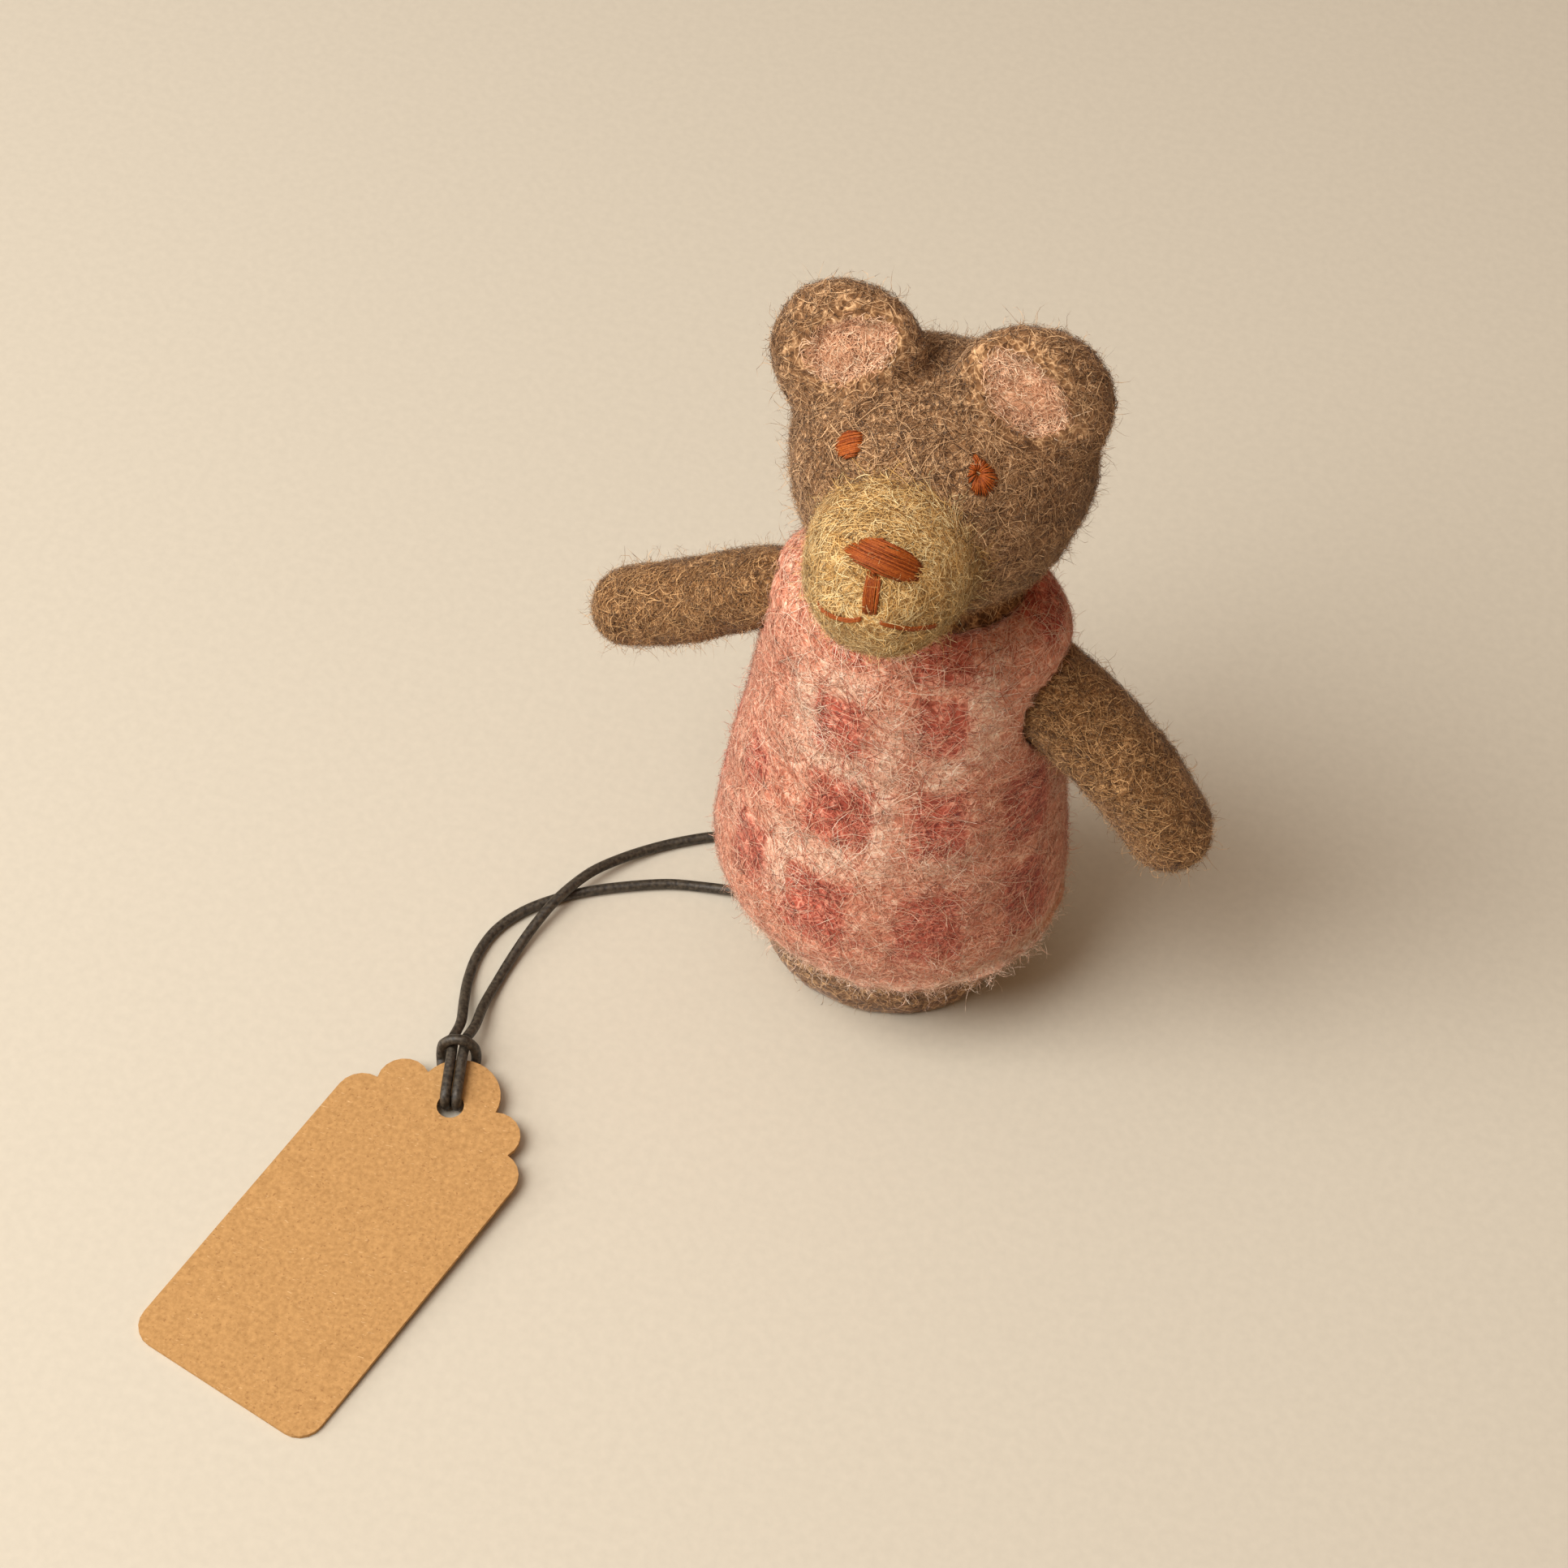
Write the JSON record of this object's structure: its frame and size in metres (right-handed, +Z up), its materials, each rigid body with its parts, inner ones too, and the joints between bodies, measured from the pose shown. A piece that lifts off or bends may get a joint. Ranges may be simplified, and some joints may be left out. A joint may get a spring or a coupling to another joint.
{
  "type": "finger puppet",
  "caption": "Felted wool bear finger puppet with round ears, a tan muzzle and a sleeveless checked pinafore, hollow from below, with a card swing tag on a thin cord.",
  "frame": {"origin": "middle of the puppet's own box, without its cord and card, on the surface it stands on", "axes": "+Z up through the head, -Y the way the face looks, +X towards the puppet's own left arm"},
  "size_m": [0.0975, 0.1005, 0.0993],
  "materials": {
    "brown_wool": "matte felted brown wool",
    "tan_wool": "matte felted tan wool",
    "pink_wool": "matte felted pink wool with rose squares",
    "lining_wool": "matte felted pale pink wool",
    "rust_thread": "rust embroidery thread",
    "waxed_cord": "thin waxed black cord",
    "kraft_card": "speckled kraft card"
  },
  "bodies": {
    "root": {"body": "brown_wool", "head": "brown_wool", "arm_left": "brown_wool", "arm_right": "brown_wool", "muzzle": "tan_wool", "dress": "pink_wool", "ear_lining_left": "lining_wool", "ear_lining_right": "lining_wool", "eye_left": "rust_thread", "eye_right": "rust_thread", "nose": "rust_thread", "nose_stitch": "rust_thread", "mouth_left": "rust_thread", "mouth_right": "rust_thread", "tag_cord_a": "waxed_cord", "tag_cord_b": "waxed_cord", "hitch": "waxed_cord", "swing_tag": "kraft_card"}
  },
  "joints": []
}
